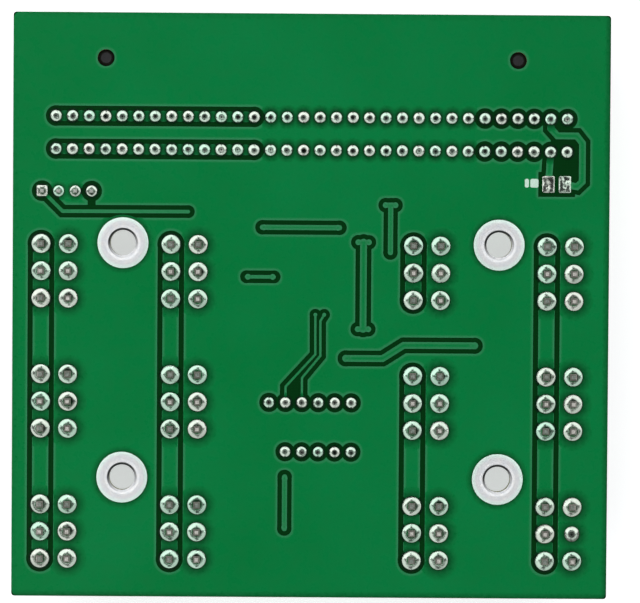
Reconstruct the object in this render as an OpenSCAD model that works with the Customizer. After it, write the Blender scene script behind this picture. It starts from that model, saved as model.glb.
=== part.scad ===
/* [Board] */
// Width of the board along its slot edge
board_w = 92; // [90:0.5:110]
// Length of the board from its slot edge to its far edge
board_l = 90.1; // [88:0.1:110]
// Thickness of the finished board with both copper layers
board_t = 1.6; // [1.2:0.1:3.2]
// Thickness of one copper layer with its green mask
copper_t = 0.1; // [0.05:0.01:0.2]
// Bare laminate left between the copper and the board's edges
copper_margin = 0.2; // [0.1:0.05:1]
// Radius of the board's corners
corner_r = 0.5; // [0.3:0.1:3]

/* [Mounting holes] */
// Distance between the mounting holes along the slot edge
hole_span_x = 58; // [57:0.1:58.8]
// Distance between the mounting holes across the board
hole_span_y = 36.2; // [34:0.1:38]
// Diameter of a mounting hole
hole_d = 3.9; // [3:0.1:4.2]
// Laminate left bare between a hole and its tinned ring
hole_ledge = 0.2; // [0.1:0.05:0.4]
// Outer diameter of a tinned ring
ring_d = 8; // [6:0.1:8.4]
// Thickness of the tin on bare copper
tin_t = 0.05; // [0.02:0.01:0.1]

/* [Outlets] */
// Spacing of an outlet's pins, both ways
pin_pitch = 4.2; // [4:0.05:4.4]
// Opening across one cell
cell_w = 3.7; // [3.2:0.05:3.9]
// Depth of a cell
cell_depth = 9.6; // [8:0.1:10.5]
// Corner cut of a keyed cell
key_cut = 0.9; // [0.5:0.1:1.4]
// Outer wall of an outlet
outlet_wall = 0.85; // [0.6:0.05:1]
// Height of an outlet from the board to its mating face
outlet_h = 12.8; // [12:0.1:16]
// Distance that the latch ramp stands out of its outlet
latch_out = 1.2; // [0.6:0.1:1.5]
// Width of the latch ramp
latch_w = 3.6; // [2:0.1:6]
// Length of the latch ramp
latch_l = 4.5; // [3:0.1:6]
// Distance of the latch ramp from the mating face
latch_in = 1.2; // [0.5:0.1:3]
// Thickness of a square outlet pin
pin_w = 1.07; // [0.9:0.01:1.2]
// Distance of the pins' tips from the mating face
pin_recess = 3; // [1:0.1:5]
// Length of an outlet pin beyond the solder side
pin_tail = 1.3; // [1.1:0.05:2]
// Length of a pin's pointed end
pin_point = 0.3; // [0.1:0.05:0.4]
// Diameter of the board's holes for the outlet pins
pin_drill = 1.8; // [1.7:0.05:2]
// Diameter of the outlets' solder pads
outlet_pad = 3.05; // [2.6:0.05:3.4]

/* [Outlet places] */
// Distance of the first column from the left mounting holes
column_1_out = 10.5; // [9.5:0.1:10.8]
// Distance of the second column from the left mounting holes
column_2_in = 9.5; // [9.3:0.1:11]
// Distance of the third column from the right mounting holes
column_3_in = 11.1; // [10.5:0.1:11.5]
// Distance of the fourth column from the right mounting holes
column_4_out = 9.5; // [9.3:0.1:11]

/* [Card-edge slot] */
// Contacts in each row of the slot
contact_count = 32; // [28:1:32]
// Contacts at the left end of each row that carry the return current
return_count = 13; // [4:1:14]
// Contacts at the right end of each row that carry signals
signal_count = 6; // [4:1:8]
// Spacing of the contacts
contact_pitch = 2.54; // [2.4:0.01:2.6]
// Distance between the two rows of contact tails
tail_rows = 5.08; // [4:0.01:6]
// Distance of the nearer row of tails from the slot edge
tail_edge = 15.95; // [15.5:0.05:17]
// Distance of the slot's mouth from the board's edge
slot_setback = 0.3; // [0:0.1:1]
// Depth of the slot's body behind its mouth
slot_d = 13; // [12:0.1:13.8]
// Height of the slot's body
slot_h = 10.8; // [9:0.1:11.8]
// Distance of the slot's middle plane from the board
slot_mid = 5.4; // [5:0.1:6]
// Opening between the slot's two walls
slot_gap = 1.9; // [1.7:0.05:2.4]
// Depth of the slot
slot_depth = 9; // [7:0.1:10]
// Wall beyond each end of the slot
slot_end = 3; // [1.5:0.1:3.2]
// Width of the groove that holds a contact
groove_w = 0.9; // [0.85:0.05:1.4]
// Slot left open beyond its last contacts
slot_spare = 1.3; // [1:0.05:1.6]
// Lip in front of the grooves
groove_lip = 1; // [0.6:0.1:1.6]
// Distance between the locating pegs
peg_span = 63.5; // [50:0.5:70]
// Distance of the locating pegs from the slot edge
peg_edge = 7; // [5:0.1:9]
// Diameter of a locating peg
peg_d = 2.4; // [1.8:0.1:2.6]
// Clearance around a locating peg
peg_clear = 0.12; // [0.05:0.01:0.3]

/* [Slot contacts] */
// Width of a contact strip
contact_w = 0.7; // [0.5:0.05:0.8]
// Thickness of a contact strip
contact_t = 0.3; // [0.2:0.02:0.36]
// Distance between facing contacts at their nearest
contact_bite = 1.2; // [0.8:0.05:1.6]
// Distance of the contacts' leads from the slot's middle plane
contact_lead = 1.8; // [1.5:0.05:2.2]
// Clearance between a lead and the floor of its groove
lead_clear = 0.15; // [0.05:0.05:0.4]
// Diameter of the board's holes for the contact tails
tail_drill = 1; // [0.9:0.05:1.2]
// Diameter of the tails' solder pads
tail_pad = 1.8; // [1.5:0.05:2]

/* [Display] */
// Width of the display
display_w = 22.5; // [18:0.1:22.6]
// Length of the display
display_l = 10; // [9:0.1:14]
// Height of the display above the board
display_h = 6; // [5:0.1:8]
// Height of a digit
digit_h = 7; // [5:0.1:7.5]
// Width of a digit
digit_w = 3.9; // [3:0.1:4.4]
// Spacing of the digits
digit_pitch = 7.2; // [6.4:0.1:7.4]
// Width of a digit's segments
segment_w = 0.8; // [0.5:0.05:1]
// Gap between neighbouring segments
segment_gap = 0.18; // [0.1:0.02:0.3]
// Depth of the segments in the display's face
segment_t = 0.5; // [0.2:0.1:1]
// Spacing of the display's pins
display_pitch = 2.54; // [2.4:0.01:2.7]
// Distance between the display's two rows of pins
display_rows = 7.62; // [7:0.01:8.4]
// Thickness of a display pin
display_pin = 0.5; // [0.4:0.02:0.6]
// Diameter of the board's holes for the display pins
display_drill = 0.9; // [0.88:0.02:1.1]
// Diameter of the display's solder pads
display_pad = 1.7; // [1.5:0.05:1.9]

/* [Header] */
// Spacing of the header's pins
header_pitch = 2.54; // [2.4:0.01:2.7]
// Thickness of a header pin
header_pin = 0.64; // [0.5:0.02:0.7]
// Length of a header pin beyond its base
header_reach = 6; // [4:0.1:8]
// Distance of the header from the farther row of tails
header_below = 6.5; // [6:0.1:7]
// Distance of the header's centre from the first contact's column
header_in = 1.7; // [1:0.1:4]
// Diameter of the board's holes for the header pins
header_drill = 1; // [0.96:0.02:1.2]
// Diameter of the header's solder pads
header_pad = 1.8; // [1.6:0.05:2]
// Length of a header pin beyond the solder side
header_tail = 0.9; // [0.8:0.05:1.5]

/* [Link pads] */
// Width of a link pad
link_w = 1.85; // [1.4:0.05:2.1]
// Length of a link pad
link_l = 2.55; // [2:0.05:3]
// Distance of the link pads from the farther row of tails
link_below = 5; // [4:0.1:6]
// Shift of the link pads to the left of the last two contacts
link_shift = 0.3; // [0:0.05:0.5]

/* [Copper] */
// Width of the copper strip that joins an outlet's return pins
strip_w = 2.5; // [2:0.05:2.9]
// Width of the gap around those strips
strip_gap = 0.8; // [0.5:0.05:0.85]
// Width of the copper strip that joins the slot's return contacts
slot_strip_w = 1.6; // [1:0.05:1.9]
// Width of the gap around those strips
slot_strip_gap = 0.75; // [0.5:0.05:0.9]
// Width of the gap around traces and signal pads
trace_gap = 0.7; // [0.4:0.05:0.8]
// Width of the gap around the display's pads
display_gap = 0.65; // [0.3:0.05:0.7]
// Width of the finest traces
fine_trace = 0.35; // [0.2:0.05:0.6]
// Width of the narrow traces
narrow_trace = 0.55; // [0.3:0.05:0.8]
// Width of the medium traces
medium_trace = 0.8; // [0.5:0.05:1]
// Width of the wide traces
wide_trace = 1.05; // [0.7:0.05:1.2]
// Diameter of a covered via
via_d = 0.9; // [0.6:0.05:1.1]
// Diameter of a covered via at the end of a fine trace
fine_via_d = 0.6; // [0.4:0.05:0.9]
// Height of a covered via above the copper
via_rise = 0.05; // [0.02:0.01:0.1]

/* [Chips] */
// Spacing of the controller's leads
lead_pitch = 1.27; // [1.2:0.01:1.4]
// Leads along each side of the controller
lead_count = 8; // [4:1:8]
// Width of the controller's body across its leads
controller_w = 3.9; // [3.5:0.1:4.4]
// Thickness of the controller's body
controller_t = 1.45; // [1.2:0.05:2]
// Gap under the controller's body
controller_gap = 0.15; // [0.05:0.05:0.3]
// Width of a chip's lead
lead_w = 0.42; // [0.3:0.02:0.6]
// Thickness of a chip's lead
lead_t = 0.2; // [0.12:0.02:0.3]
// Distance that a lead reaches out of its body
lead_reach = 1.05; // [0.8:0.05:1.4]
// Width of the regulator's body
regulator_w = 4.5; // [4:0.1:5]
// Length of the regulator's body
regulator_l = 2.5; // [2.2:0.1:3]
// Thickness of the regulator's body
regulator_t = 1.5; // [1.2:0.1:1.8]
// Spacing of the regulator's leads
regulator_pitch = 1.5; // [1.3:0.05:1.7]
// Length of a chip resistor
resistor_l = 2; // [1.6:0.1:2.4]
// Width of a chip resistor
resistor_w = 1.25; // [0.8:0.05:1.6]
// Thickness of a chip resistor
resistor_t = 0.5; // [0.35:0.05:0.7]
// Number of chip resistors
resistor_count = 8; // [4:1:8]
// Length of a chip capacitor
capacitor_l = 3.2; // [2.6:0.1:3.6]
// Width of a chip capacitor
capacitor_w = 1.6; // [1.2:0.1:2]
// Thickness of a chip capacitor
capacitor_t = 1.4; // [0.8:0.1:1.8]

/* [Hidden] */
$fn = 48;
overrun = 1;
diagonal_share = sqrt(2);
plastic_colour = "#1c1c1e";
solder_colour = "gainsboro";
tin_colour = "silver";
brass_colour = "#b59a5b";

outlet_columns = 4;
outlet_rows = 3;
pins_across = 2;
pins_along = 3;
outlet_count = outlet_columns * outlet_rows;
blown_outlet = 9;
blown_pin = 4;
blown_pad_share = 0.79;
blown_bore_share = 0.33;
blown_depth_share = 0.55;
climb_share = 1.16;
point_share = 0.5;
solder_edge = copper_t / 2;

function numbered(stem, i) = str(stem, i < 9 ? "0" : "", i + 1);

// Levels, counted up from the mating faces of the outlets
mask_z = outlet_h;
core_z = mask_z + copper_t;
core_t = board_t - 2 * copper_t;
solder_z = mask_z + board_t;

// Length of the board beside the slot and its header, which the mounting holes and outlets share
slot_reach = tail_edge + tail_rows + header_below + header_pitch / 2;
field_l = board_l - slot_reach;

// Mounting holes, their centre as a share of that length from the far edge
hole_rise_share = 0.5962;
hole_y = field_l * hole_rise_share - board_l / 2;
holes = [for (sx = [-1, 1]) for (sy = [-1, 1]) [sx * hole_span_x / 2, hole_y + sy * hole_span_y / 2]];
ring_bore = hole_d + 2 * hole_ledge;
ring_gap = 2 * hole_ledge;

// Outlets, column by column from the left and each column from the far edge; the length that they leave
// free is shared out to the gap at the far edge, the gaps between the rows and the gap at the header
outlet_x = pin_pitch * (pins_across - 1) + cell_w + 2 * outlet_wall;
outlet_y = pin_pitch * (pins_along - 1) + cell_w + 2 * outlet_wall;
outlet_xs = [
    -hole_span_x / 2 - column_1_out,
    -hole_span_x / 2 + column_2_in,
    hole_span_x / 2 - column_3_in,
    hole_span_x / 2 + column_4_out
];
free_l = field_l - outlet_rows * outlet_y;
edge_gap_share = 0.1583;
row_gap_share = 0.3166;
outlet_row_pitch = outlet_y + free_l * row_gap_share;
first_row_y = outlet_y / 2 + free_l * edge_gap_share - board_l / 2;
outlet_ys = [for (r = [0 : outlet_rows - 1]) first_row_y + r * outlet_row_pitch];
outlet_places = [for (x = outlet_xs) for (y = outlet_ys) [x, y]];
middle_row_y = outlet_ys[1];
cell_places = [
    for (a = [0 : pins_across - 1]) for (b = [0 : pins_along - 1])
        [(a - (pins_across - 1) / 2) * pin_pitch, (b - (pins_along - 1) / 2) * pin_pitch]
];
keyed_cells = [true, false, true, false, true, false];
outlet_corner_r = outlet_wall / 2;
latch_root = outlet_wall / 2;

// Slot: contact tails in two rows, the nearer row at the slot edge first
function row_x(i, count, pitch) = (i - (count - 1) / 2) * pitch;
near_row_y = board_l / 2 - tail_edge;
far_row_y = near_row_y - tail_rows;
slot_y = (near_row_y + far_row_y) / 2;
contact_xs = [for (i = [0 : contact_count - 1]) row_x(i, contact_count, contact_pitch)];
signal_first = contact_count - signal_count;
tail_places = [for (y = [near_row_y, far_row_y]) for (x = contact_xs) [x, y]];
signal_places = [
    for (y = [near_row_y, far_row_y]) for (i = [signal_first : contact_count - 1]) [contact_xs[i], y]
];
mouth_y = board_l / 2 - slot_setback;
slot_open = (contact_count - 1) * contact_pitch + 2 * slot_spare;
slot_len = slot_open + 2 * slot_end;
slot_mid_z = mask_z - slot_mid;
groove_half = contact_lead + contact_t / 2 + lead_clear;
flare = slot_gap / 3;
peg_places = [for (s = [-1, 1]) [s * peg_span / 2, board_l / 2 - peg_edge]];
peg_tip = peg_d / 6;
lip_step = slot_end / 3;
crater_share = 0.72;
crest_share = 0.5;
collar_share = 0.22;
tail_end = board_t / 6;
crater_depth = board_t / 3;

// Contact strip, as shares of the slot's depth behind the mouth
contact_tip_share = 0.18;
contact_bump_shares = [0.36, 0.46];
contact_heel_share = 0.84;

// Display: its first row of pins lines up with the middle outlets
display_row_ys = [middle_row_y, middle_row_y - display_rows];
display_counts = [6, 5];
display_y = middle_row_y - display_rows / 2;
display_first = row_x(0, display_counts[0], display_pitch);
display_places = [
    for (r = [0, 1]) for (i = [0 : display_counts[r] - 1])
        [display_first + (i + display_counts[0] - display_counts[r]) * display_pitch, display_row_ys[r]]
];
digit_count = 3;
slant_share = 0.14;
dot_share = 1.2;
dot_d = segment_w * dot_share;

// Header
header_count = 4;
header_x = contact_xs[0] + header_in;
header_y = far_row_y - header_below;
header_places = [
    for (i = [0 : header_count - 1]) [header_x + row_x(i, header_count, header_pitch), header_y]
];
header_base_t = header_pitch;
header_notch = header_pitch / 4;

// Link pads under the last two contacts
link_y = far_row_y - link_below;
link_places = [
    for (i = [2, 1]) [contact_xs[contact_count - i] - link_shift, link_y]
];

// Return pins of a column's outlets share one strip, but the third column's first row stands alone
function is_return(i) = i % len(cell_places) < pins_along;
function return_column(x, first, last) = [
    [x - pin_pitch / 2, outlet_ys[first] - pin_pitch], [x - pin_pitch / 2, outlet_ys[last] + pin_pitch]
];
return_strips = [
    return_column(outlet_xs[0], 0, 2), return_column(outlet_xs[1], 0, 2),
    return_column(outlet_xs[2], 0, 1), return_column(outlet_xs[2], 2, 2),
    return_column(outlet_xs[3], 0, 2)
];
slot_strips = [
    for (y = [near_row_y, far_row_y]) [[contact_xs[0], y], [contact_xs[return_count - 1], y]]
];

// Traces, as shares of half the hole span and of the outlet rows, from the middle row's centre
trace_shares = [
    [[-0.259, 1.344], [0.150, 1.344]],
    [[-0.342, 0.964], [-0.196, 0.964]],
    [[0.395, 1.520], [0.447, 1.520]],
    [[0.422, 1.520], [0.422, 1.157]],
    [[0.251, 1.234], [0.307, 1.234]],
    [[0.279, 1.234], [0.279, 0.567]],
    [[0.251, 0.567], [0.307, 0.567]],
    [[0.188, 0.342], [0.384, 0.342], [0.496, 0.445], [0.874, 0.445]],
    [[-0.133, -0.573], [-0.133, -0.970]]
];
trace_widths = [
    medium_trace, narrow_trace, medium_trace, medium_trace, medium_trace,
    wide_trace, medium_trace, wide_trace, medium_trace
];
via_shares = [
    [0.395, 1.520], [0.447, 1.520], [0.251, 1.234], [0.307, 1.234], [0.251, 0.567], [0.307, 0.567],
    [-0.251, 1.344], [0.142, 1.344], [-0.335, 0.964], [-0.203, 0.964], [0.196, 0.342], [0.866, 0.445],
    [-0.133, -0.585], [-0.133, -0.958]
];
fine_shares = [
    [[0.025, 0.676], [0.026, 0.370], [-0.131, 0.122]],
    [[0.072, 0.676], [0.052, 0.628], [0.053, 0.360], [-0.044, 0.190]]
];
line_end_share = 1.03;
function on_board(p) = [p.x * hole_span_x / 2, middle_row_y + p.y * outlet_row_pitch];
traces = [for (t = trace_shares) [for (p = t) on_board(p)]];
fine_traces = [
    for (i = [0, 1]) concat([for (p = fine_shares[i]) on_board(p)], [display_places[i + 1]])
];
fine_web = concat([for (t = fine_traces) t[len(t) - 2]], [for (i = [2, 1]) display_places[i]]);
vias = concat(
    [for (v = via_shares) [on_board(v), via_d]],
    [for (t = fine_traces) [t[0], fine_via_d]]
);

// Header trace, as shares of the header's pitch from its first pin
header_trace_shares = [[0, 0], [1.24, -1.23], [8.86, -1.21]];
header_trace = [for (p = header_trace_shares) header_places[0] + p * header_pitch];
header_stub = [header_places[header_count - 1].x, header_trace[1].y];

// Link traces, as shares of the contact pitch from the slot's last column and middle line
outer_link_shares = [
    [-1, 0.42], [-0.60, -0.02], [0.58, -0.02], [0.93, -0.46], [0.93, -2.80], [0.62, -3.10]
];
last_column = [contact_xs[contact_count - 1], slot_y];
outer_link = concat(
    [[contact_xs[contact_count - 2], near_row_y]],
    [for (p = outer_link_shares) last_column + p * contact_pitch],
    [[link_places[1].x, link_y]]
);
inner_link = [[contact_xs[contact_count - 2], far_row_y], link_places[0]];
bare_patch_shares = [[-1, 0.2], [-0.5, 0.75], [0.93, 0.2], [0.93, -3.2], [-1, -3.2]];

// Drilled holes as places with their diameters
outlet_pin_places = [for (o = outlet_places) for (c = cell_places) o + c];
drills = concat(
    [for (p = outlet_pin_places) [p, pin_drill]],
    [for (p = tail_places) [p, tail_drill]],
    [for (p = display_places) [p, display_drill]],
    [for (p = header_places) [p, header_drill]],
    [for (p = holes) [p, hole_d]],
    [for (p = peg_places) [p, peg_d + 2 * peg_clear]]
);

// Chips stand between the display and the slot
controller_l = lead_count * lead_pitch;
chip_window_w = display_w;
window_share = 1.2;
spread_share = 1.6;
resistor_y = display_y + display_l / 2 + 2 * resistor_l;
controller_y = resistor_y + 2 * controller_w;
regulator_y = controller_y + 2 * controller_w;
chip_window_low = resistor_y - resistor_l * window_share;
chip_window_high = regulator_y + 2 * regulator_l;
resistor_pitch = resistor_w * spread_share;
resistor_places = [
    for (i = [0 : resistor_count - 1]) [row_x(i, resistor_count, resistor_pitch), resistor_y]
];
aside_share = 0.71;
capacitor_places = [for (s = [-1, 1]) [s * (regulator_w + capacitor_w) * aside_share, regulator_y]];
resistor_size = [resistor_w, resistor_l, resistor_t];
capacitor_size = [capacitor_w, capacitor_l, capacitor_t];
cap_share = 0.2;
land_share = 1.5;
foot_share = 0.55;
lead_xs = [for (i = [0 : lead_count - 1]) row_x(i, lead_count, lead_pitch)];
regulator_xs = [for (i = [-1, 0, 1]) i * regulator_pitch];
controller_level = mask_z - controller_gap - controller_t / 2;

// Outline with rounded corners
module rounded(size, r) {
    square([size.x - 2 * r, size.y], center = true);
    square([size.x, size.y - 2 * r], center = true);
    for (sx = [-1, 1]) for (sy = [-1, 1])
        translate([sx * (size.x / 2 - r), sy * (size.y / 2 - r)]) circle(r = r);
}

// Outline of a flat strip of thickness t bent along the points
function unit(v) = v / norm(v);
function left_of(v) = [-v.y, v.x];
function miter(points, i) =
    let (
        last = len(points) - 1,
        a = unit(points[max(i, 1)] - points[max(i, 1) - 1]),
        b = unit(points[min(i + 1, last)] - points[min(i, last - 1)]),
        m = left_of(unit(a + b))
    )
    m / (m * left_of(a));
function strip(points, t) = concat(
    [for (i = [0 : len(points) - 1]) points[i] + miter(points, i) * t / 2],
    [for (i = [len(points) - 1 : -1 : 0]) points[i] - miter(points, i) * t / 2]
);

module dots(places, d) {
    for (p = places) translate(p) circle(d = d);
}

module drilled() {
    for (h = drills) translate(h[0]) circle(d = h[1]);
}

// Line of width d through the points, with round ends that stand a little wider
module route(points, d) {
    polygon(strip(points, d));
    dots([points[0], points[len(points) - 1]], d * line_end_share);
}

// Extrusion of a profile drawn in Y and Z, centred along X
module along_x(length) {
    translate([-length / 2, 0, 0]) rotate([90, 0, 90]) linear_extrude(length) children();
}

// Square pin from z0 to z1 with a point of four facets at each end
function pin_profile(w, z0, z1, point) =
    let (half = w / 2, tip = w * point_share / 2)
    [
        [-half, z0 + point], [-tip, z0], [tip, z0], [half, z0 + point],
        [half, z1 - point], [tip, z1], [-tip, z1], [-half, z1 - point]
    ];
module square_pin(w, z0, z1, point) {
    intersection() {
        along_x(w) polygon(pin_profile(w, z0, z1, point));
        rotate(90) along_x(w) polygon(pin_profile(w, z0, z1, point));
    }
}

// Solder that fills a hole and climbs the pin in a hollow fillet
module full_joint(pad, drill, pin) {
    fillet = pad / 2 - pin * climb_share / 2;
    top = solder_edge + fillet;
    translate([0, 0, solder_z]) difference() {
        rotate_extrude() difference() {
            union() {
                translate([0, -board_t]) square([drill / 2, board_t]);
                square([pad / 2, top]);
            }
            translate([pad / 2, top]) circle(r = fillet);
        }
        translate([-pin / 2, -pin / 2, -board_t - overrun])
            cube([pin, pin, board_t + top + 2 * overrun]);
    }
}

// Low collar of solder around a hole that stays open above the end of its tail
module open_joint(pad, drill, bore, depth, tail) {
    crest = pad * crest_share / 2;
    top = pad * collar_share / 2;
    translate([0, 0, solder_z]) difference() {
        rotate_extrude() polygon([
            [0, -board_t], [drill / 2, -board_t], [drill / 2, 0], [pad / 2, 0], [pad / 2, solder_edge],
            [crest, top], [bore / 2, solder_edge], [bore / 2, -depth], [0, -depth]
        ]);
        translate([-tail.x / 2, -tail.y / 2, -board_t - overrun])
            cube([tail.x, tail.y, board_t + overrun]);
    }
}

// Bare gaps in the solder-side copper
module solder_side_gaps() {
    for (s = return_strips) route(s, strip_w + 2 * strip_gap);
    for (s = slot_strips) route(s, slot_strip_w + 2 * slot_strip_gap);
    dots(signal_places, tail_pad + 2 * trace_gap);
    dots(display_places, display_pad + 2 * display_gap);
    dots([header_places[0], header_places[header_count - 1]], header_pad + 2 * trace_gap);
    route([header_places[header_count - 1], header_stub], narrow_trace + trace_gap);
    route(header_trace, narrow_trace + 2 * trace_gap);
    for (i = [0 : len(traces) - 1]) route(traces[i], trace_widths[i] + 2 * trace_gap);
    for (t = fine_traces) route(t, fine_trace + 2 * trace_gap);
    polygon(fine_web);
    route(outer_link, wide_trace + 2 * trace_gap);
    route(inner_link, wide_trace + 2 * trace_gap);
    polygon([for (p = bare_patch_shares) last_column + p * contact_pitch]);
    for (p = link_places) translate(p)
        square([link_w + 2 * display_gap, link_l + 2 * display_gap], center = true);
    dots(holes, ring_d + ring_gap);
}

// Copper that lies inside those gaps
module solder_side_islands() {
    for (s = return_strips) route(s, strip_w);
    for (s = slot_strips) route(s, slot_strip_w);
    dots([for (i = [0 : len(outlet_pin_places) - 1]) if (is_return(i)) outlet_pin_places[i]], outlet_pad);
    translate(header_places[0]) square(header_pad, center = true);
    dots(tail_places, tail_pad);
    dots(display_places, display_pad);
    dots(header_places, header_pad);
    route(header_trace, narrow_trace);
    for (i = [0 : len(traces) - 1]) route(traces[i], trace_widths[i]);
    for (t = fine_traces) route(t, fine_trace);
    route(outer_link, wide_trace);
    route(inner_link, wide_trace);
    for (v = vias) translate(v[0]) circle(d = v[1]);
}

module pour() {
    rounded([board_w - 2 * copper_margin, board_l - 2 * copper_margin], corner_r);
}

module circuit_board() {
    color("#0a4a22") translate([0, 0, core_z]) linear_extrude(core_t) difference() {
        rounded([board_w, board_l], corner_r);
        drilled();
    }
}

module solder_side_copper() {
    color("#0c7a40") {
        translate([0, 0, solder_z - copper_t]) linear_extrude(copper_t) difference() {
            union() {
                difference() {
                    pour();
                    solder_side_gaps();
                }
                solder_side_islands();
            }
            drilled();
            for (p = link_places) translate(p) square([link_w, link_l], center = true);
        }
        for (v = vias) translate([v[0].x, v[0].y, solder_z - copper_t])
            cylinder(d = v[1], h = copper_t + via_rise);
    }
}

module component_side_copper() {
    supply_places = [
        for (i = [0 : len(outlet_pin_places) - 1]) if (!is_return(i)) outlet_pin_places[i]
    ];
    slot_places = [
        for (y = [near_row_y, far_row_y]) for (i = [return_count : contact_count - 1]) [contact_xs[i], y]
    ];
    color("#0c7a40") translate([0, 0, mask_z]) linear_extrude(copper_t) difference() {
        union() {
            difference() {
                pour();
                dots(supply_places, outlet_pad + 2 * display_gap);
                dots(concat(slot_places, header_places), tail_pad + display_gap);
                dots(display_places, display_pad + display_gap);
                dots(holes, ring_d + ring_gap);
                translate([-chip_window_w / 2, chip_window_low])
                    square([chip_window_w, chip_window_high - chip_window_low]);
            }
            dots(supply_places, outlet_pad);
            dots(concat(slot_places, header_places), tail_pad);
            dots(display_places, display_pad);
        }
        drilled();
    }
}

// Tinned rings around the mounting holes on both sides of the board
module mounting_rings() {
    ring_t = copper_t + tin_t;
    color(tin_colour) for (p = holes) for (z = [mask_z - tin_t, solder_z - copper_t])
        translate([p.x, p.y, z]) linear_extrude(ring_t) difference() {
            circle(d = ring_d);
            circle(d = ring_bore);
        }
}

module link_pads() {
    color(tin_colour) for (p = link_places) translate([p.x, p.y, solder_z - copper_t])
        linear_extrude(copper_t + tin_t) square([link_w, link_l], center = true);
}

module cell_outline(keyed) {
    difference() {
        square(cell_w, center = true);
        if (keyed) for (s = [-1, 1]) translate([-cell_w / 2, s * cell_w / 2])
            rotate(45) square(key_cut * diagonal_share, center = true);
    }
}

// Six cells open at the mating face, pins through the floor and a latch ramp on the return side
module outlet_housing(i) {
    floor_t = outlet_h - cell_depth;
    color(plastic_colour) translate(outlet_places[i]) {
        difference() {
            linear_extrude(outlet_h) rounded([outlet_x, outlet_y], outlet_corner_r);
            for (c = [0 : len(cell_places) - 1]) translate(cell_places[c]) {
                translate([0, 0, -overrun]) linear_extrude(cell_depth + overrun)
                    cell_outline(keyed_cells[c]);
                translate([0, 0, cell_depth - overrun]) linear_extrude(floor_t + 2 * overrun)
                    square(pin_w, center = true);
            }
        }
        translate([-outlet_x / 2, 0, 0]) rotate(90) along_x(latch_w) polygon([
            [-latch_root, latch_in], [0, latch_in],
            [latch_out, latch_in + latch_l], [-latch_root, latch_in + latch_l]
        ]);
    }
}

// Square pins with pointed ends; one tail stops short under its open joint
module outlet_pins(i) {
    color(brass_colour) translate(outlet_places[i]) for (c = [0 : len(cell_places) - 1]) {
        blown = i == blown_outlet && c == blown_pin;
        end = blown ? solder_z - board_t * blown_depth_share : solder_z + pin_tail;
        translate(cell_places[c]) square_pin(pin_w, pin_recess, end, pin_point);
    }
}

module outlet_solder_joints() {
    color(solder_colour) for (i = [0 : outlet_count - 1]) for (c = [0 : len(cell_places) - 1])
        translate(outlet_places[i] + cell_places[c])
            if (i == blown_outlet && c == blown_pin) blown_joint();
            else full_joint(outlet_pad, pin_drill, pin_w);
}

module blown_joint() {
    pad = outlet_pad * blown_pad_share;
    bore = outlet_pad * blown_bore_share;
    open_joint(pad, pin_drill, bore, board_t / 4, [pin_w, pin_w]);
}

// Long body with a flared slot in its mouth, a groove for each pair of contacts, a slit in the back wall
// for each lead and two pegs
module slot_housing() {
    back_y = mouth_y - slot_d;
    slit = [contact_w + 2 * lead_clear, slot_d - slot_depth + 2 * overrun, contact_t + 2 * lead_clear];
    color(plastic_colour) {
        difference() {
            along_x(slot_len) polygon([
                [back_y, mask_z], [mouth_y, mask_z], [mouth_y, mask_z - slot_h + lip_step],
                [mouth_y - lip_step, mask_z - slot_h], [back_y, mask_z - slot_h]
            ]);
            along_x(slot_open) polygon([
                [mouth_y - slot_depth, slot_mid_z - slot_gap / 2],
                [mouth_y - flare, slot_mid_z - slot_gap / 2],
                [mouth_y + overrun, slot_mid_z - slot_gap / 2 - flare - overrun],
                [mouth_y + overrun, slot_mid_z + slot_gap / 2 + flare + overrun],
                [mouth_y - flare, slot_mid_z + slot_gap / 2],
                [mouth_y - slot_depth, slot_mid_z + slot_gap / 2]
            ]);
            for (x = contact_xs) {
                translate([x - groove_w / 2, mouth_y - slot_depth, slot_mid_z - groove_half])
                    cube([groove_w, slot_depth - groove_lip, 2 * groove_half]);
                for (s = [-1, 1]) translate([x, back_y - overrun + slit.y / 2, slot_mid_z + s * contact_lead])
                    cube(slit, center = true);
            }
        }
        for (p = peg_places) translate(p) {
            translate([0, 0, mask_z - overrun]) cylinder(d = peg_d, h = overrun + board_t - 2 * peg_tip);
            translate([0, 0, solder_z - 2 * peg_tip])
                cylinder(d1 = peg_d, d2 = peg_d - 2 * peg_tip, h = peg_tip);
        }
    }
}

// Sprung strip from the mouth to its tail; side is 1 next to the board and -1 on the far wall
function contact_path(side, row_y) =
    let (
        lead_z = slot_mid_z + side * contact_lead,
        bump_z = slot_mid_z + side * (contact_bite + contact_t) / 2,
        tip_z = (lead_z + bump_z) / 2
    )
    concat(
        [[mouth_y - slot_depth * contact_tip_share, tip_z]],
        [for (s = contact_bump_shares) [mouth_y - slot_depth * s, bump_z]],
        [[mouth_y - slot_depth * contact_heel_share, lead_z], [row_y, lead_z], [row_y, solder_z - tail_end]]
    );
module slot_contacts(side, row_y) {
    color(brass_colour) for (x = contact_xs) translate([x, 0, 0])
        along_x(contact_w) polygon(strip(contact_path(side, row_y), contact_t));
}
module slot_contacts_near() {
    slot_contacts(1, near_row_y);
}
module slot_contacts_far() {
    slot_contacts(-1, far_row_y);
}

module slot_solder_joints() {
    color(solder_colour) for (p = tail_places) translate(p)
        open_joint(tail_pad, tail_drill, tail_drill * crater_share, crater_depth, [contact_w, contact_t]);
}

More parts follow.
